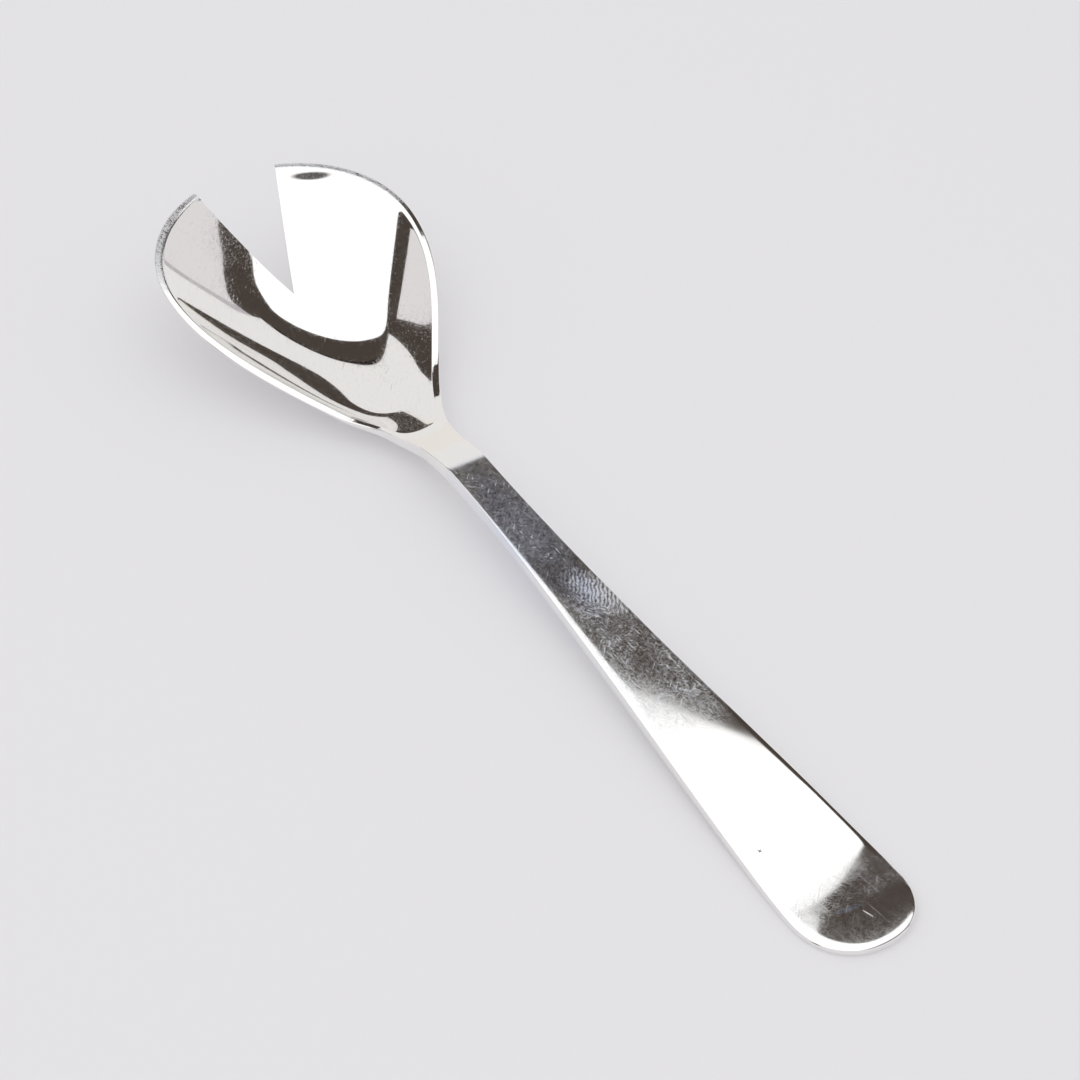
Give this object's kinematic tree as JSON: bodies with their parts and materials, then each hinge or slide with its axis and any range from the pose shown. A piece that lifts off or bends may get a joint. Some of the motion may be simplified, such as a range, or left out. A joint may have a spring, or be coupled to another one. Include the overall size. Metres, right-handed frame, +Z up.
{
  "type": "oyster spoon",
  "caption": "Polished silver oyster spoon: a heart-shaped bowl with a V-shaped cutting notch in its front edge, hard-soldered to a flat handle that broadens to a rounded end.",
  "frame": {"origin": "middle of the bounding box at the level of the table the spoon lies on", "axes": "+X along the spoon from the handle's end towards the bowl's horns, +Z up, mirrored about Y"},
  "size_m": [0.1402, 0.0346, 0.0129],
  "materials": {
    "bowl_silver": "mirror-polished silver with fine wear scratches",
    "handle_silver": "polished silver, finely scratched and slightly satin",
    "silver_solder": "polished hard solder"
  },
  "bodies": {
    "root": {"bowl": "bowl_silver", "handle": "handle_silver", "solder_seam": "silver_solder"}
  },
  "joints": []
}
